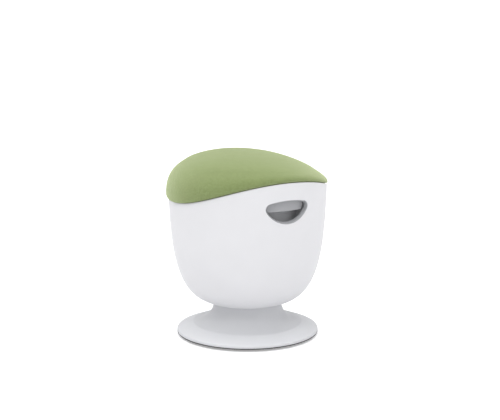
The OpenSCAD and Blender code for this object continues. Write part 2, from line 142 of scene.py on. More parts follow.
def turnedPiece(name, outline, steps):
    # lathe: a closed (r, z) outline carried round the lift axis
    a = ring(steps)
    loop = np.vstack([outline, outline[:1]])
    r, z = loop[:, 0][:, None], loop[:, 1][:, None]
    grid = np.stack([r * np.cos(a), r * np.sin(a), z + 0 * a], -1)
    return pieceFromGrids(name, [(grid, True)])


def applyModifiers(piece):
    # the mesh becomes what its modifiers make of it
    bpy.context.view_layer.update()
    graph = bpy.context.evaluated_depsgraph_get()
    mesh = bpy.data.meshes.new_from_object(piece.evaluated_get(graph))
    piece.modifiers.clear()
    old = piece.data
    piece.data = mesh
    bpy.data.meshes.remove(old)


# camera: metres, and degrees from the front (-Y) round towards +X and down from level

view = dict(azimuth=66.3, distance=3.3131, height=0.9647, pitch=11.43, aside=0.00594, lens=104.35,
            sensor=36.0, farEnd=100.0)

az = math.radians(view["azimuth"])
camera = bpy.data.objects.new("camera", bpy.data.cameras.new("camera"))
camera.data.lens = view["lens"]
camera.data.sensor_width = view["sensor"]
camera.data.clip_end = view["farEnd"]
camera.location = (view["distance"] * math.sin(az), -view["distance"] * math.cos(az), view["height"])
aim = Vector((view["aside"] * math.cos(az), view["aside"] * math.sin(az),
              view["height"] - view["distance"] * math.tan(math.radians(view["pitch"]))))
camera.rotation_euler = (aim - camera.location).to_track_quat("-Z", "Y").to_euler()
scene.collection.objects.link(camera)
scene.camera = camera
scene.view_settings.view_transform = "Standard"
scene.view_settings.look = "None"

# light and floor

# the studio is brighter overhead than at the sides; the camera alone sees it white all round
worldLook = dict(sides=0.33, overhead=1.5, seen=0.8)

white = (1, 1, 1, 1)
world = bpy.data.worlds.new("studio")
world.use_nodes = True
sky = world.node_tree
direction = addNode(sky, "ShaderNodeTexCoord").outputs["Generated"]
height = addNode(sky, "ShaderNodeSeparateXYZ", {}, {"Vector": direction}).outputs["Z"]
levels = {"To Min": worldLook["sides"], "To Max": worldLook["overhead"]}
glow = addNode(sky, "ShaderNodeMapRange", levels, {"Value": height})
toCamera = addNode(sky, "ShaderNodeLightPath").outputs["Is Camera Ray"]
seenGlow = addNode(sky, "ShaderNodeMath", {"operation": "MULTIPLY_ADD", 1: worldLook["seen"]},
                   {0: toCamera, 2: glow.outputs["Result"]})
sky.nodes["Background"].inputs["Color"].default_value = white
sky.links.new(seenGlow.outputs[0], sky.nodes["Background"].inputs["Strength"])
scene.world = world


def lampFrom(name, kind, azimuth, elevation, distance, energy, aimZ=0.2):
    # a lamp that faces the stool's middle, aimZ above the floor
    lamp = bpy.data.lights.new(name, kind)
    lamp.energy = energy
    holder = bpy.data.objects.new(name, lamp)
    a, e = math.radians(azimuth), math.radians(elevation)
    holder.location = (distance * math.cos(e) * math.sin(a), -distance * math.cos(e) * math.cos(a),
                       distance * math.sin(e) + aimZ)
    holder.rotation_euler = (Vector((0, 0, aimZ)) - holder.location).to_track_quat("-Z", "Y").to_euler()
    scene.collection.objects.link(holder)
    return lamp


keyLight = lampFrom("keyLight", "SUN", azimuth=30, elevation=68, distance=3.0, energy=1.3)
keyLight.angle = math.radians(70)
fillLight = lampFrom("fillLight", "AREA", azimuth=112, elevation=22, distance=3.5, energy=8)
fillLight.shape = "SQUARE"
fillLight.size = 2.6

floorLook = dict(size=60.0, colour="#e9e9eb", lift=0.35, rough=0.9)
unitSquare = np.array([[[-1, -1, 0], [1, -1, 0]], [[-1, 1, 0], [1, 1, 0]]], float)
floor = pieceFromGrids("floor", [(unitSquare * floorLook["size"] / 2, False)])
floor.data.flip_normals()
print("camera, light and floor")

# shape of the stool

seat = dict(rimRadius=186.2 * mm, crest=387.4 * mm, crestForward=19.4 * mm, saddleRadius=386.8 * mm,
            foot=76.5 * mm, draft=0.039, turnHeight=3.73, turnRadius=4.35, wall=3 * mm,
            holeRadius=84 * mm, refDrop=0.4 * mm)
grip = dict(direction=6.2, lowRadius=55.6 * mm, low=300.4 * mm, highRadius=190 * mm, high=342.5 * mm,
            corner=7 * mm, bezel=6 * mm, centreLift=6 * mm)
pad = dict(top=435 * mm, slope=8.8 * mm, dip=7.7 * mm, crownY=36.7 * mm, crownX=20 * mm, shoulderR=2.8,
           shoulderZ=2.85, bulgeBack=4.6 * mm, bulgeFront=1 * mm, bulgeZ=6 * mm, radius=185 * mm,
           fabric=1.2 * mm, panRadius=178.4 * mm, hemRadius=158 * mm, pan=10 * mm, gap=1.3 * mm,
           gapDepth=2.6 * mm)
# the shell's draft and underside are measured down from here
refZ = seat["crest"] - seat["refDrop"]
gripAngle = math.radians(grip["direction"])
gripAxis = np.array([math.cos(gripAngle), math.sin(gripAngle), 0.0])


def shellRadius(z):
    # drafted cylinder whose underside closes as a superellipse
    depth = np.clip(refZ - z, 0, None) / (refZ - seat["foot"])
    return ((seat["rimRadius"] - seat["draft"] * (refZ - z))
            * (1 - np.clip(depth, 0, 1) ** seat["turnHeight"]) ** (1 / seat["turnRadius"]))


def shellSlope(z):
    # change of radius with height
    nudge = 1e-5
    return (shellRadius(z + nudge) - shellRadius(z - nudge)) / (2 * nudge)


def saddle(y, drop=0.0):
    # cylinder along X, or the one `drop` inside it
    return (seat["crest"] - seat["saddleRadius"]
            + np.sqrt((seat["saddleRadius"] - drop) ** 2 - (y - seat["crestForward"]) ** 2))


def rimHeight(a):
    # where the saddle meets the shell in direction a; five rounds are enough to settle it
    z = np.full_like(a, refZ)
    for _ in range(5):
        z = saddle(shellRadius(z) * np.sin(a))
    return z


# shell

# inside a window round the hand-hold, the patch, ringRows rows lead from the grid to the hole
shellLook = dict(steps=288, rows=104, patchTurn=25.0, patchLow=283 * mm, patchHigh=362 * mm, ringRows=9,
                 ease=0.35, edgeRows=9, holeFillet=0.5 * mm, filletRows=5)


def shellPoint(a, z, inward=0.0):
    # point of the outer face, moved `inward` along the normal
    r, k = shellRadius(z), shellSlope(z)
    n = np.sqrt(1 + k * k)
    rr = r - inward / n
    return np.stack([rr * np.cos(a), rr * np.sin(a), z + inward * k / n], -1)


def gripOutline():
    # D lying on its back: a deep round arc below, a flat one above. The two discs are shrunk by the
    # corner radius and their common edge traced by polar angle; fullOutline grows it back.
    centre = np.array([0.0, 0.5 * (grip["low"] + grip["high"]) + grip["centreLift"]])
    rays = 1440
    ray = arcPoints((0, 0), 1.0, 0, 360 - 360 / rays, rays)

    def reach(discZ, radius):
        # distance from centre along each ray to a disc's edge
        d = centre - [0, discZ]
        b = ray @ d
        return -b + np.sqrt(b * b - d @ d + radius * radius)

    c = grip["corner"]
    inner = np.minimum(reach(grip["low"] + grip["lowRadius"], grip["lowRadius"] - c),
                       reach(grip["high"] - grip["highRadius"], grip["highRadius"] - c))
    return centre + ray * inner[:, None]


def outward(loop):
    # unit normals of a closed outline that runs anticlockwise
    t = np.roll(loop, -1, 0) - np.roll(loop, 1, 0)
    return np.stack([t[:, 1], -t[:, 0]], -1) / np.linalg.norm(t, axis=1)[:, None]


def fullOutline():
    # grown by the corner radius, with the two sharp turns filled by an arc
    core = gripOutline()
    out = outward(core)
    heading = np.unwrap(np.arctan2(out[:, 1], out[:, 0]))
    heading = np.append(heading, heading[0] + 2 * math.pi)
    core = np.vstack([core, core[:1]])
    at = np.arange(len(heading))
    perPoint = 40
    fine = np.linspace(0, len(heading) - 1, perPoint * len(heading))[:-1]
    a = np.interp(fine, at, heading)
    base = np.stack([np.interp(fine, at, core[:, 0]), np.interp(fine, at, core[:, 1])], -1)
    return base + grip["corner"] * np.stack([np.cos(a), np.sin(a)], -1)


def gripPoint(outline, offset, sink):
    # outline moved out by offset and wrapped on the shell, then pushed straight in by sink;
    # also returns the direction and height of each point
    flat = outline + outward(outline) * offset
    a = gripAngle + np.arcsin(flat[:, 0] / shellRadius(flat[:, 1]))
    return shellPoint(a, flat[:, 1]) - sink * gripAxis, a, flat[:, 1]


def buildShell():
    look = shellLook
    a = gripAngle + ring(look["steps"])
    s = np.linspace(0, 1, look["rows"])
    # the shell ends where its underside has closed in to the hole for the neck; looked up in a
    # fine scan from 150 mm down to its foot
    underside = np.linspace(150 * mm, seat["foot"] + 0.1 * mm, 4000)
    holeZ = np.interp(-seat["holeRadius"], -shellRadius(underside), underside)
    depth = (refZ - holeZ) * np.sin(0.5 * math.pi * s)
    edge = seat["wall"] / 2
    z = refZ - depth[:, None] + (rimHeight(a) - edge - refZ)[None, :] * (1 - s[:, None]) ** 2
    outer = shellPoint(a, z)
    inner = shellPoint(a, z, seat["wall"])

    def roundEdge(row, sign):
        # half circle over an edge, from the outer face to the inner one
        b = np.linspace(0, math.pi, look["edgeRows"])[1:-1][:, None, None]
        n = (outer[row] - inner[row]) / 2
        up = np.cross(np.stack([-np.sin(a), np.cos(a), 0 * a], -1), n) * -sign
        return (outer[row] + inner[row]) / 2 + np.cos(b) * n + np.sin(b) * up

    # the window of the grid, centred on the grip, is left out of both faces
    half = round(look["patchTurn"] / 360 * look["steps"])
    i0 = int(np.argmin(abs(z[:, 0] - look["patchHigh"])))
    i1 = int(np.argmin(abs(z[:, 0] - look["patchLow"])))
    keep = np.ones((look["rows"] - 1, look["steps"]), bool)
    keep[i0:i1, :half] = False
    keep[i0:i1, -half:] = False

    # boundary of the window, anticlockwise seen from outside, starting at its right-hand middle
    cols = np.arange(-half, half + 1)
    mid = (i0 + i1) // 2
    right = [(i, half) for i in range(mid, i0, -1)]
    top = [(i0, j) for j in cols[::-1][:-1]]
    left = [(i, -half) for i in range(i0, i1)]
    low = [(i1, j) for j in cols[:-1]]
    rightLow = [(i, half) for i in range(i1, mid, -1)]
    loop = np.array(right + top + left + low + rightLow)
    loopA = gripAngle + loop[:, 1] * 2 * math.pi / look["steps"]
    loopZ = z[loop[:, 0], loop[:, 1] % look["steps"]]

    # the same number of points round the hole
    shape = evenly(fullOutline(), len(loop))

    def faceRing(inward, offset):
        # from the window's edge to the hole's, on the shell's own surface
        _, endA, endZ = gripPoint(shape, offset, 0.0)
        w = np.linspace(0, 1, look["ringRows"])[:, None]
        w = w * w * (3 - 2 * w) * look["ease"] + w * (1 - look["ease"])
        ra, rz = loopA + (endA - loopA) * w, loopZ + (endZ - loopZ) * w
        face = shellPoint(ra, rz)
        share = w[..., None]
        return face + (1 - share) * (shellPoint(ra, rz, inward) - face) - share * inward * gripAxis

    # hole edge: a small fillet outside, then straight through the wall
    hole, fillet = grip["bezel"], look["holeFillet"]
    path = [(hole + fillet - fillet * math.sin(b), fillet - fillet * math.cos(b))
            for b in np.linspace(0, math.pi / 2, look["filletRows"])] + [(hole, seat["wall"])]
    holeRows = np.array([gripPoint(shape, o, d)[0] for o, d in path])

    rimEdge = np.concatenate([outer[:1], roundEdge(0, 1), inner[:1]])
    holeEdge = np.concatenate([outer[-1:], roundEdge(look["rows"] - 1, -1), inner[-1:]])
    grids = (outer, inner, rimEdge, holeEdge, faceRing(0.0, hole + fillet),
             faceRing(seat["wall"], hole), holeRows)
    return pieceFromGrids("shell", [(grid, True) for grid in grids], keepFaces={0: keep, 1: keep})


shellPiece = buildShell()
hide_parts("shell")
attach(shellPiece, "seat")

# bezel clipped into the hole: a sleeve that narrows inwards, its edge level with the shell. Its grey is
# painted shade, standing in for the shade that falls inside the hand-hold

bezelLook = dict(count=300, clearance=0.15 * mm, edge=0.6 * mm, mouth=2 * mm, depth=11 * mm,
                 wall=1.8 * mm, curve=1.5, snap=1 * mm, edgeRows=4, sleeveRows=12, endRows=7)


def buildBezel():
    b = bezelLook
    rim, mouth, depth = grip["bezel"] - b["clearance"], b["mouth"], b["depth"]
    shape = evenly(fullOutline(), b["count"])
    path = [(rim - b["edge"] * (1 - math.cos(t)), b["edge"] * (1 - math.sin(t)))
            for t in np.linspace(0, math.pi / 2, b["edgeRows"])]
    # from the edge to the mouth the offset falls as (1 - share of the depth) to the power `curve`
    path += [(mouth + (rim - b["edge"] - mouth) * (1 - t) ** b["curve"], t * depth)
             for t in np.linspace(0, 1, b["sleeveRows"])[1:]]
    path += [(mouth + b["wall"] / 2 * (1 - math.cos(t)), depth + b["wall"] / 2 * math.sin(t))
             for t in np.linspace(0, math.pi, b["endRows"])[1:]]
    path += [(mouth + b["wall"], seat["wall"] + b["snap"]), (rim, seat["wall"]), path[0]]
    rows = np.array([gripPoint(shape, o, d)[0] for o, d in path])
    return pieceFromGrids("gripBezel", [(rows, True)])


bezel = buildBezel()
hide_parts("grip_bezel")
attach(bezel, "seat")
print("shell:", len(shellPiece.data.polygons), "faces")

# base cover

baseLook = dict(radius=166 * mm, edgeZ=8 * mm, wall=3 * mm, roll=5 * mm, rollLift=3 * mm,
                creaseR=127 * mm, creaseZ=29 * mm, flare=47 * mm, neckTop=246 * mm,
                creaseSoft=3 * mm, lip=0.8 * mm, slope=20.5, spacing=3 * mm, steps=240)


def denser(outline, step):
    # adds points along the long stretches of an outline, so that shading stays even
    rows = []
    for p, q in zip(outline[:-1], outline[1:]):
        count = max(1, int(np.linalg.norm(q - p) / step))
        rows.append(p + (q - p) * (np.arange(count) / count)[:, None])
    return np.vstack(rows + [outline[-1:]])


def buildBaseCover():
    b = baseLook
    rim = (b["radius"] - b["roll"], b["edgeZ"] + b["rollLift"])
    flareC = (b["creaseR"], b["creaseZ"] + b["flare"])
    down = np.array([math.cos(math.radians(b["slope"])), -math.sin(math.radians(b["slope"]))])
    crease = np.array([b["creaseR"], b["creaseZ"]])
    soft = b["creaseSoft"]
    turn = math.degrees(soft / b["flare"])
    neckR = b["creaseR"] - b["flare"]
    topR = b["wall"] / 2
    lip = b["lip"]
    onArc = arcPoints(flareC, b["flare"], -90 - turn, -180, 44)
    outline = np.vstack([
        arcPoints((b["radius"] - lip, b["edgeZ"] + lip), lip, -90, 0, 5),
        arcPoints(rim, b["roll"], 0, 90 - b["slope"], 12),
        softCorner(crease + down * soft, crease, onArc[0], 7)[:-1],
        onArc,
        arcPoints((neckR - topR, b["neckTop"] - topR), topR, 0, 180, 9),
        arcPoints(flareC, b["flare"] + b["wall"], -180, -90, 32),
        arcPoints(rim, b["roll"] - b["wall"], 90 - b["slope"], 0, 6),
        arcPoints((b["radius"] - b["wall"] + lip, b["edgeZ"] + lip), lip, 180, 270, 5)])
    return turnedPiece("baseCover", denser(outline, b["spacing"]), b["steps"])


baseCover = buildBaseCover()
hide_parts("base_cover")
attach(baseCover, "base")

# rubber sole: domed, with moulded rings under it

soleLook = dict(land=60 * mm, edgeZ=5.5 * mm, radius=166 * mm, edgeIn=2 * mm, sideR=1.2 * mm,
                sideLift=1.4 * mm, lipZ=8 * mm, topZ=12 * mm, innerR=162.7 * mm,
                ringPitch=11 * mm, ringWidth=2.6 * mm, ringDepth=1.0 * mm, firstRing=66 * mm,
                lastRing=158 * mm, steps=192)


def buildSole():
    s = soleLook
    domeR = s["radius"] - s["edgeIn"]
    reach = domeR - s["land"]
    arcR = (reach ** 2 + s["edgeZ"] ** 2) / (2 * s["edgeZ"])

    def dome(r):
        # flat land, then a circle that starts level at its edge
        return arcR - np.sqrt(arcR ** 2 - np.clip(r - s["land"], 0, None) ** 2)

    rings = np.arange(s["firstRing"], s["lastRing"], s["ringPitch"])
    across = np.linspace(-0.5, 0.5, 7) * s["ringWidth"]
    r = np.sort(np.concatenate([np.linspace(0, domeR, 40),
                                (rings[:, None] + across[None, :]).reshape(-1)]))
    near = np.abs(r[:, None] - rings[None, :]).min(1)
    groove = np.where(near < s["ringWidth"] / 2, np.cos(math.pi * near / s["ringWidth"]) ** 2, 0)
    under = np.stack([r, dome(r) + s["ringDepth"] * groove], -1)
    outline = np.vstack([
        under,
        arcPoints((s["radius"] - s["sideR"], s["edgeZ"] + s["sideLift"]), s["sideR"], -60, 0, 5),
        [[s["radius"], s["lipZ"]], [s["innerR"], s["lipZ"]], [s["innerR"], s["topZ"]], [0, s["topZ"]]]])
    return turnedPiece("rubberSole", outline, s["steps"])


sole = buildSole()
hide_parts("rocker_sole")
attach(sole, "base")
print("base cover and sole")

# cushion: fabric over foam

# the dome starts `rise` small and swells back to its designed size. The swell is shared out evenly
# but for `play`, a fraction either way that follows how a coarse copy swells under air pressure.
padLook = dict(steps=240, rows=64, bunch=1.25, rise=2.5 * mm, play=0.3, blend=45 * mm, blocks=80,
               midRows=6, fade=0.15, tuckRows=9, panGap=0.4 * mm, hemGap=0.2 * mm, hemLap=0.5 * mm)
puffLook = dict(steps=96, rows=28, tuckRows=6, underRows=16, tuckOut=2 * mm, tuckUp=1 * mm,
                underUp=1 * mm, remesh=5 * mm, hold=4 * mm, frames=20, cap=5 * mm, pressure=4.0,
                quality=6, mass=0.3, stretch=20, shear=8, bend=1.5)


def widest(a):
    # radius of the cushion's widest line in direction a
    back, front = pad["bulgeBack"], pad["bulgeFront"]
    return pad["radius"] + (back + front) / 2 + (front - back) / 2 * np.sin(a)


def padTop(x, y):
    # falling to the front, crowned both ways
    u, v = x / pad["radius"], y / pad["radius"]
    return (pad["top"] - pad["slope"] * v - pad["dip"] * v ** 3 - pad["crownY"] * v ** 2
            - pad["crownX"] * u ** 2)


def domePoints(a, lift, inset):
    # superellipse from the widest line (lift 0) to the top (lift 90 degrees)
    r = (widest(a) - inset) * np.cos(lift) ** (2 / pad["shoulderR"])
    x, y = r * np.cos(a), r * np.sin(a)
    low = saddle(y) + pad["bulgeZ"] - inset
    z = low + (padTop(x, y) - inset - low) * np.sin(lift) ** (2 / pad["shoulderZ"])
    return np.stack([x, y, z], -1)


def tuckPoints(a, turn, inset, radius, above):
    # quarter ellipse from the widest line in to `radius`, `above` the rim
    q = radius + (widest(a) - inset - radius) * np.cos(turn)
    y = q * np.sin(a)
    z = saddle(y) + above + (pad["bulgeZ"] - inset - above) * (1 - np.sin(turn))
    return np.stack([q * np.cos(a), y, z], -1)


def saddlePoints(a, radius, drop):
    # a circle in plan, laid on the cylinder `drop` inside the saddle
    y = radius * np.sin(a)
    return np.stack([radius * np.cos(a), y, saddle(y, drop) + 0 * a], -1)


def domeGrid(inset, rows, steps):
    # rows bunch towards the shoulder, where the surface turns fastest
    lift = 0.5 * math.pi * np.linspace(1, 0, rows) ** padLook["bunch"]
    grid = domePoints(*np.meshgrid(ring(steps), lift), inset)
    grid[0] = grid[0].mean(0)
    return grid


def tuckGrid(inset, radius, above, rows, steps):
    # without its first row, which is the dome's last
    turns = np.linspace(0, 0.5 * math.pi, rows)[1:]
    return tuckPoints(*np.meshgrid(ring(steps), turns), inset, radius, above)


def puffUp():
    # air pressure swells a coarse copy of the cushion; returns where its points were and went
    look, rise = puffLook, padLook["rise"]
    dome = domeGrid(rise, look["rows"], look["steps"])
    tuck = tuckGrid(rise, pad["panRadius"] + look["tuckOut"], look["tuckUp"], look["tuckRows"],
                    look["steps"])
    flat = np.array([saddlePoints(ring(look["steps"]), r, -look["underUp"])
                     for r in np.linspace(pad["panRadius"], 0, look["underRows"])])
    copy = pieceFromGrids("puff", [(np.concatenate([dome, tuck, flat]), True)], weld=1e-5)
    remesh = copy.modifiers.new("remesh", "REMESH")
    remesh.mode = "VOXEL"
    remesh.voxel_size = look["remesh"]
    applyModifiers(copy)
    before = pointsOf(copy.data)
    held = copy.vertex_groups.new(name="held")
    low = before[:, 2] < saddle(before[:, 1]) + look["hold"]
    held.add(np.flatnonzero(low).tolist(), 1.0, "REPLACE")
    cloth = copy.modifiers.new("cloth", "CLOTH")
    cloth.settings.quality = look["quality"]
    cloth.settings.mass = look["mass"]
    cloth.settings.tension_stiffness = look["stretch"]
    cloth.settings.compression_stiffness = look["stretch"]
    cloth.settings.shear_stiffness = look["shear"]
    cloth.settings.bending_stiffness = look["bend"]
    cloth.settings.use_pressure = True
    cloth.settings.uniform_pressure_force = look["pressure"]
    cloth.settings.effector_weights.gravity = 0
    cloth.settings.vertex_group_mass = "held"
    cloth.point_cache.frame_start = 1
    cloth.point_cache.frame_end = look["frames"]
    for f in range(1, look["frames"] + 1):
        scene.frame_set(f)
    settled = copy.evaluated_get(bpy.context.evaluated_depsgraph_get())
    moved = pointsOf(settled.data) - before
    far = np.linalg.norm(moved, axis=1)
    moved *= np.minimum(1, look["cap"] / np.maximum(far, 1e-9))[:, None]
    scene.frame_set(1)
    bpy.data.objects.remove(copy)
    print("cushion settled: mean move %.2f mm, most %.2f mm"
          % (np.linalg.norm(moved, axis=1).mean() / mm, far.max() / mm))
    return before, moved


def fullness(points, normals, before, moved):
    # how far the settled copy moved outward near each point, as a share of its mean. Settled points
    # within `blend` count by (1 - (distance / blend)^2)^2, which leaves only broad, taut swells.
    look, result = padLook, []
    for block in np.array_split(points.reshape(-1, 3), look["blocks"]):
        far = np.linalg.norm(block[:, None] - before[None], axis=-1)
        w = np.clip(1 - (far / look["blend"]) ** 2, 0, None) ** 2
        result.append(w @ moved / w.sum(1, keepdims=True))
    out = (np.vstack(result).reshape(points.shape) * normals).sum(-1)
    return 1 + look["play"] * np.tanh(out / out.mean() - 1)


def meridianLength(grid):
    # distance from the top along each line of longitude
    step = np.linalg.norm(np.diff(grid, axis=0), axis=-1)
    return np.vstack([np.zeros(grid.shape[1]), np.cumsum(step, axis=0)])


def buildCushion():
    # returns the cover's grid, its place in the weave and how far the dome swelled
    look = padLook
    steps, rows, rise = look["steps"], look["rows"], look["rise"]
    skin = pad["fabric"]
    a = ring(steps)
    outer, inner = domeGrid(rise, rows, steps), domeGrid(rise + skin, rows, steps)
    full = domeGrid(0, rows, steps) - outer
    share = np.ones(outer.shape[:2])
    before, moved = puffUp()
    length = np.linalg.norm(full, axis=-1, keepdims=True)
    share = fullness(outer, full / np.maximum(length, 1e-9), before, moved)
    # evened out at the top's middle and at the widest line, which the tuck carries on from
    share[:look["midRows"]] = share[:look["midRows"]].mean()
    fade = np.clip(np.linspace(1, 0, rows) / look["fade"], 0, 1)
    share = 1 + (share - 1) * fade[:, None]
    shift = full * share[..., None]
    outer, inner = outer + shift, inner + shift
    seamR = pad["radius"] - pad["gapDepth"]
    outerTuck = tuckGrid(0, seamR, pad["gap"], look["tuckRows"], steps)
    innerTuck = tuckGrid(skin, seamR - skin, pad["gap"] + skin, look["tuckRows"], steps)[::-1]

    # the hem goes down past the pan's edge and turns in under it, as (radius, drop)
    edgeR, hemR = pad["panRadius"] + look["panGap"], pad["hemRadius"]
    under, lap = pad["pan"] + look["hemGap"], look["hemLap"]
    hem = [(edgeR + skin, -lap), (edgeR + skin, under + skin), (hemR, under + skin), (hemR, under),
           (edgeR, under), (edgeR, -lap - skin)]
    hemRows = np.array([saddlePoints(a, r, d) for r, d in hem])
    grid = np.concatenate([outer, outerTuck, hemRows, innerTuck, inner[::-1]])
    reach = meridianLength(np.concatenate([outer, outerTuck, hemRows]))
    backReach = meridianLength(np.concatenate([inner, innerTuck[::-1]]))[::-1]
    reach = np.concatenate([reach, backReach])
    weave = np.stack([reach * np.cos(a), reach * np.sin(a), 0 * reach], -1)
    return grid, weave, shift


cushionGrid, weaveGrid, padShift = buildCushion()
cover = pieceFromGrids("seatCover", [(cushionGrid, True)], extra={"weave": weaveGrid})
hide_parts("seat_cover")
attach(cover, "seat")


foamLook = dict(gap=0.3 * mm, tuckOut=3 * mm, tuckUp=0.5 * mm, tuckRows=7, edgeIn=0.5 * mm,
                edgeUp=2 * mm, underIn=1 * mm, underUp=0.7 * mm, underRows=12)


def buildFoam():
    # half as fine as the cover, just inside it, resting on the pan
    look = foamLook
    steps, rows = padLook["steps"] // 2, padLook["rows"] // 2
    inset, panR = pad["fabric"] + look["gap"], pad["panRadius"]
    dome = domeGrid(padLook["rise"] + inset, rows, steps) + padShift[::2, ::2]
    tuck = tuckGrid(inset, panR + look["tuckOut"], look["tuckUp"] + inset, look["tuckRows"], steps)
    path = [(panR - look["edgeIn"], look["edgeUp"])]
    path += [(r, look["underUp"]) for r in np.linspace(panR - look["underIn"], 0, look["underRows"])]
    under = np.array([saddlePoints(ring(steps), r, -d) for r, d in path])
    return pieceFromGrids("foamPad", [(np.concatenate([dome, tuck, under]), True)])


foam = buildFoam()
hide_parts("foam_pad")
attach(foam, "seat")
print("cushion:", len(cover.data.polygons), "faces")

# hand-hold: lining cup and lever paddle, worked out as soft-edged boxes bent round the lift axis;
# `half` is half their width in degrees, and `spare` is how much of the cup's box is cut away

cupLook = dict(inR=144 * mm, outR=178.2 * mm, half=20.5, low=285.5 * mm, high=346 * mm, wall=2.5 * mm,
               soft=9 * mm, count=40, spare=20 * mm)
paddleLook = dict(inR=162 * mm, outR=170 * mm, half=17.2, low=321 * mm, high=346 * mm, soft=2.4 * mm,
                  count=44, overlap=0.5 * mm)


def softBoxGrids(half, soft, count):
    # cube faces pushed onto a box with edges of radius soft: nearest point of the inner box,
    # plus soft along the direction away from it
    t = np.sin(np.linspace(-0.5, 0.5, count) * math.pi)
    u, v = np.meshgrid(t, t, indexing="ij")
    grids = []
    for axis in range(3):
        for side in (-1, 1):
            cube = np.empty(u.shape + (3,))
            cube[..., axis] = side
            cube[..., (axis + 1) % 3] = u
            cube[..., (axis + 2) % 3] = v
            p = cube * half
            core = np.clip(p, -(half - soft), half - soft)
            away = p - core
            grids.append((core + soft * away / np.linalg.norm(away, axis=-1)[..., None], False))
    return grids


def bentRound(points, midR, midZ):
    # radial depth, arc length at midR and height become a place round the axis
    r = midR + points[..., 0]
    a = gripAngle + points[..., 1] / midR
    return np.stack([r * np.cos(a), r * np.sin(a), midZ + points[..., 2]], -1)


def boxMiddle(look):
    return (look["inR"] + look["outR"]) / 2, (look["low"] + look["high"]) / 2


def buildCup():
    # a soft box with its outer side and its top cut away, then given a wall
    look, spare = cupLook, cupLook["spare"]
    midR, midZ = boxMiddle(look)
    half = np.array([(look["outR"] - look["inR"] + spare) / 2, math.radians(look["half"]) * midR,
                     (look["high"] - look["low"] + spare) / 2])
    boxes = softBoxGrids(half, look["soft"], look["count"])
    piece = pieceFromGrids("handCup", [(g + [spare / 2, 0, spare / 2], wrap) for g, wrap in boxes])
    cut = bmesh.new()
    cut.from_mesh(piece.data)
    sides = (((look["outR"] - midR, 0, 0), (1, 0, 0)), ((0, 0, look["high"] - midZ), (0, 0, 1)))
    for side, normal in sides:
        geometry = cut.verts[:] + cut.edges[:] + cut.faces[:]
        bmesh.ops.bisect_plane(cut, geom=geometry, plane_co=side, plane_no=normal, clear_outer=True)
    cut.to_mesh(piece.data)
    cut.free()
    bent = bentRound(pointsOf(piece.data), midR, midZ)
    piece.data.vertices.foreach_set("co", bent.reshape(-1))
    thick = piece.modifiers.new("wall", "SOLIDIFY")
    thick.thickness = look["wall"]
    thick.offset = -1
    applyModifiers(piece)
    return piece


def buildPaddle():
    look = paddleLook
    midR, midZ = boxMiddle(look)
    wide = math.radians(look["half"]) * midR
    half = np.array([(look["outR"] - look["inR"]) / 2, wide, (look["high"] - look["low"]) / 2])
    discR = grip["lowRadius"] + look["overlap"]
    discZ = grip["low"] + grip["lowRadius"]
    grids = []
    for points, wrap in softBoxGrids(half, look["soft"], look["count"]):
        # narrower where the round lower edge of the hand-hold comes in
        room = np.sqrt(discR ** 2 - (midZ + points[..., 2] - discZ) ** 2)
        points[..., 1] *= np.minimum(1, room / wide)
        grids.append((bentRound(points, midR, midZ), wrap))
    return pieceFromGrids("leverPaddle", grids)


cup = buildCup()
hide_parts("hand_cup")
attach(cup, "seat")
paddle = buildPaddle()
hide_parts("lever_paddle")
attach(paddle, "lever")
print("hand-hold")

# materials


def newMaterial(name):
    material = bpy.data.materials.new(name)
    material.use_nodes = True
    return material, material.node_tree, material.node_tree.nodes["Principled BSDF"]


def noiseOf(tree, size, detail=3.0, source=None):
    # noise whose blobs are about `size` metres across
    vector = source or addNode(tree, "ShaderNodeTexCoord").outputs["Object"]
    settings = {"Scale": 1 / size, "Detail": detail}
    return addNode(tree, "ShaderNodeTexNoise", settings, {"Vector": vector}).outputs["Fac"]


def spread(tree, value, low, high, fromLow=0.3, fromHigh=0.7):
    # value's range from fromLow to fromHigh is stretched over low to high
    settings = {"From Min": fromLow, "From Max": fromHigh, "To Min": low, "To Max": high}
    return addNode(tree, "ShaderNodeMapRange", settings, {"Value": value}).outputs["Result"]


def mixColour(tree, factor, a, b):
    # a and b are colours or sockets
    node = addNode(tree, "ShaderNodeMix", {"data_type": "RGBA"})
    tree.links.new(factor, node.inputs[0])
    for slot, value in ((6, a), (7, b)):
        if isinstance(value, tuple):
            node.inputs[slot].default_value = value
        else:
            tree.links.new(value, node.inputs[slot])
    return node.outputs[2]


def clouded(tree, shader, colour, shade, size, detail):
    # base colour that drifts from one tone to the other
    cloud = noiseOf(tree, size, detail)
    tone = mixColour(tree, spread(tree, cloud, 0, 1), linear(colour), linear(shade))
    tree.links.new(tone, shader.inputs["Base Color"])


def roughened(tree, shader, value, low, high):
    tree.links.new(spread(tree, value, low, high), shader.inputs["Roughness"])


def bumpFrom(tree, shader, height, strength, distance):
    settings = {"Strength": strength, "Distance": distance}
    bump = addNode(tree, "ShaderNodeBump", settings, {"Height": height})
    tree.links.new(bump.outputs["Normal"], shader.inputs["Normal"])


def waveScale(pitch):
    # a wave texture repeats every 2 pi / 20 of its scaled input
    return 2 * math.pi / (20 * pitch)


def mouldedPlastic(name, colour, shade, rough, grain=0.8 * mm, ior=1.49):
    # injection moulded against a spark-eroded tool: even, satin, with a grain that softens glints
    material, tree, shader = newMaterial(name)
    clouded(tree, shader, colour, shade, size=70 * mm, detail=2.0)
    fine = noiseOf(tree, grain, detail=2.0)
    roughened(tree, shader, fine, low=rough - 0.05, high=rough + 0.06)
    shader.inputs["IOR"].default_value = ior
    bumpFrom(tree, shader, fine, strength=0.25, distance=0.03 * mm)
    return material


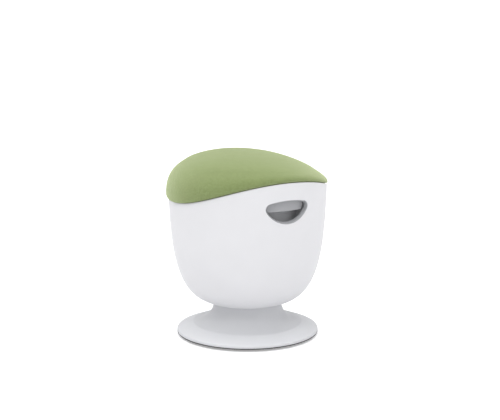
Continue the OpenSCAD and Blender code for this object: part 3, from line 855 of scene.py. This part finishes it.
def plainMetal(name, colour, shade, rough, grain):
    # bare or plated metal: slight clouding from plating, fine grain from grinding
    material, tree, shader = newMaterial(name)
    clouded(tree, shader, colour, shade, size=9 * mm, detail=3.0)
    shader.inputs["Metallic"].default_value = 1.0
    fine = noiseOf(tree, grain, detail=4.0)
    roughened(tree, shader, fine, low=rough - 0.06, high=rough + 0.08)
    bumpFrom(tree, shader, fine, strength=0.3, distance=0.02 * mm)
    return material


def wovenWool(name):
    # wool blend, plain weave, lightly felted: soft, matt, flecked where fibres of three dyes cross.
    # Real threads are 1.1 mm apart; they are drawn 1.7 mm apart so that the weave shows.
    material, tree, shader = newMaterial(name)
    thread = 1.7 * mm
    cloth = addNode(tree, "ShaderNodeAttribute", {"attribute_name": "weave"}).outputs["Vector"]

    def threads(direction):
        settings = {"bands_direction": direction, "Scale": waveScale(thread), "Distortion": 0.6,
                    "Detail": 1.0}
        return addNode(tree, "ShaderNodeTexWave", settings, {"Vector": cloth}).outputs["Fac"]

    over = addNode(tree, "ShaderNodeTexChecker", {"Scale": 1 / thread}, {"Vector": cloth}).outputs["Fac"]
    weave = addNode(tree, "ShaderNodeMix", {"data_type": "FLOAT"},
                    {0: over, 2: threads("X"), 3: threads("Y")}).outputs[0]
    fuzz = noiseOf(tree, 0.9 * mm, detail=3.0)
    height = addNode(tree, "ShaderNodeMath", {"operation": "MULTIPLY_ADD", 1: 0.5}, {0: fuzz, 2: weave})
    fleck = spread(tree, noiseOf(tree, 2.6 * mm, detail=4.0), 0, 1, fromLow=0.38, fromHigh=0.62)
    patch = spread(tree, noiseOf(tree, 35 * mm, detail=3.0), 0, 0.35)
    # painted shade: the weave's low places are drawn darker, for the shade that falls between threads
    valleyShade = spread(tree, weave, 0, 0.35, fromLow=0.35, fromHigh=0.0)
    base = mixColour(tree, fleck, linear("#717e4c"), linear("#84935f"))
    base = mixColour(tree, patch, base, linear("#7b8956"))
    base = mixColour(tree, valleyShade, base, linear("#556138"))
    tree.links.new(base, shader.inputs["Base Color"])
    shader.inputs["Roughness"].default_value = 0.92
    shader.inputs["Sheen Weight"].default_value = 1.0
    shader.inputs["Sheen Roughness"].default_value = 0.45
    shader.inputs["Sheen Tint"].default_value = linear("#dfe8bf")
    shader.inputs["IOR"].default_value = 1.45
    bumpFrom(tree, shader, height.outputs[0], strength=0.55, distance=0.35 * mm)
    return material


def mouldedRubber(name):
    # black rubber pressed in a mould: dull, faintly dusty
    material, tree, shader = newMaterial(name)
    clouded(tree, shader, "#1d1e1f", "#2a2b2c", size=14 * mm, detail=4.0)
    fine = noiseOf(tree, 0.7 * mm, detail=3.0)
    roughened(tree, shader, fine, low=0.7, high=0.85)
    shader.inputs["IOR"].default_value = 1.52
    bumpFrom(tree, shader, fine, strength=0.4, distance=0.05 * mm)
    return material


def birchPly(name):
    # rotary-cut birch veneer, sanded: pale, long soft grain along Y, thin dark glue lines at the edge
    material, tree, shader = newMaterial(name)
    plyThickness = 1.4 * mm
    place = addNode(tree, "ShaderNodeTexCoord").outputs["Object"]
    drawnOut = addNode(tree, "ShaderNodeMapping", {"Scale": (1.0, 0.08, 1.0)}, {"Vector": place})
    figure = noiseOf(tree, 6 * mm, 6.0, drawnOut.outputs[0])
    tone = mixColour(tree, spread(tree, figure, 0, 1), linear("#e0c69a"), linear("#c7a674"))
    settings = {"bands_direction": "Z", "Scale": waveScale(plyThickness)}
    glue = addNode(tree, "ShaderNodeTexWave", settings, {"Vector": place}).outputs["Fac"]
    line = spread(tree, glue, 0, 0.25, fromLow=0.8, fromHigh=1.0)
    tone = mixColour(tree, line, tone, linear("#7d5c36"))
    tree.links.new(tone, shader.inputs["Base Color"])
    shader.inputs["Roughness"].default_value = 0.62
    bumpFrom(tree, shader, figure, strength=0.3, distance=0.08 * mm)
    return material


def openFoam(name):
    # polyurethane foam: creamy, open cells about 1 mm across, drawn 2 mm so that they show
    material, tree, shader = newMaterial(name)
    cell = 2 * mm
    place = addNode(tree, "ShaderNodeTexCoord").outputs["Object"]
    cells = addNode(tree, "ShaderNodeTexVoronoi", {"Scale": 1 / cell}, {"Vector": place})
    depth = cells.outputs["Distance"]
    # painted shade: each cell's hollow is drawn darker than its rim, for the shade inside the pores
    rim = spread(tree, depth, 0, 1, fromLow=0.1, fromHigh=0.7)
    tone = mixColour(tree, rim, linear("#d9c892"), linear("#f0e6c4"))
    tree.links.new(tone, shader.inputs["Base Color"])
    shader.inputs["Roughness"].default_value = 0.95
    bumpFrom(tree, shader, depth, strength=0.6, distance=0.5 * mm)
    return material


def paintedSteel(name, colour, shade):
    # powder coat: a shallow orange-peel skin, satin
    material, tree, shader = newMaterial(name)
    peel = noiseOf(tree, 1.6 * mm, detail=2.0)
    clouded(tree, shader, colour, shade, size=40 * mm, detail=2.0)
    roughened(tree, shader, peel, low=0.36, high=0.5)
    shader.inputs["IOR"].default_value = 1.5
    bumpFrom(tree, shader, peel, strength=0.3, distance=0.08 * mm)
    return material


finishes = {
    "white_plastic": mouldedPlastic("polypropylene moulded white", "#d9d9db", "#d7d7d9", rough=0.42),
    "grey_plastic": mouldedPlastic("polypropylene moulded pale grey", "#cccdd0", "#c9cacd", rough=0.45),
    # the lining is dark grey plastic; it is drawn light grey, painted light that makes up for the shade
    # inside the cup
    "lining_plastic": mouldedPlastic("polypropylene moulded dark grey", "#bcbdc0", "#b3b4b7",
                                     rough=0.55, grain=1.1 * mm),
    # the lever paddle's own grey; on the bezel the same grey is painted shade
    "trim_plastic": mouldedPlastic("ABS moulded grey, painted shade on bezel", "#a5a6a8", "#9fa0a3", rough=0.48,
                                   grain=0.9 * mm, ior=1.53),
    "bush_plastic": mouldedPlastic("nylon glass filled black", "#3b3d40", "#333538", rough=0.6,
                                   grain=1.2 * mm, ior=1.53),
    "sole_rubber": mouldedRubber("rubber moulded black"),
    "seat_fabric": wovenWool("wool blend woven green"),
    "foam": openFoam("polyurethane foam cut"),
    "plywood": birchPly("birch plywood sanded"),
    "black_steel": paintedSteel("steel powder coated black", "#2b2d2f", "#242628"),
    "cast_weight": paintedSteel("cast iron painted grey", "#5a5e61", "#4c5053"),
    "zinc_steel": plainMetal("steel zinc plated", "#c9cdd1", "#b6bbc2", rough=0.36, grain=0.5 * mm),
    "bright_steel": plainMetal("steel ground bright", "#d3d5d7", "#c5c8cb", rough=0.18, grain=0.3 * mm),
    "brass": plainMetal("brass turned", "#d8b56a", "#c79f52", rough=0.3, grain=0.35 * mm),
}
slotOf = {part["node"]: part["material_slot"] for part in frame["record"]["subparts"]}
for node, piece in frame["nodes"].items():
    piece.data.materials.clear()
    piece.data.materials.append(finishes[slotOf[node]])
# the bezel wears the lever paddle's grey as painted shade for the hollow of the hand-hold
ownPieces = ((shellPiece, "white_plastic"), (baseCover, "grey_plastic"), (sole, "sole_rubber"),
             (cover, "seat_fabric"), (foam, "foam"), (bezel, "trim_plastic"), (cup, "lining_plastic"),
             (paddle, "trim_plastic"))
for piece, slotName in ownPieces:
    piece.data.materials.append(finishes[slotName])

floorMaterial, floorTree, floorShader = newMaterial("paper backdrop")
floorShader.inputs["Base Color"].default_value = linear(floorLook["colour"])
floorShader.inputs["Roughness"].default_value = floorLook["rough"]
# overexposed to the camera only, as a cut-out backdrop is, so that its bounce stays soft
toCamera = addNode(floorTree, "ShaderNodeLightPath").outputs["Is Camera Ray"]
seen = addNode(floorTree, "ShaderNodeMath", {"operation": "MULTIPLY", 1: floorLook["lift"]},
               {0: toCamera})
floorShader.inputs["Emission Color"].default_value = white
floorTree.links.new(seen.outputs[0], floorShader.inputs["Emission Strength"])
floor.data.materials.append(floorMaterial)
print("materials:", len(finishes))
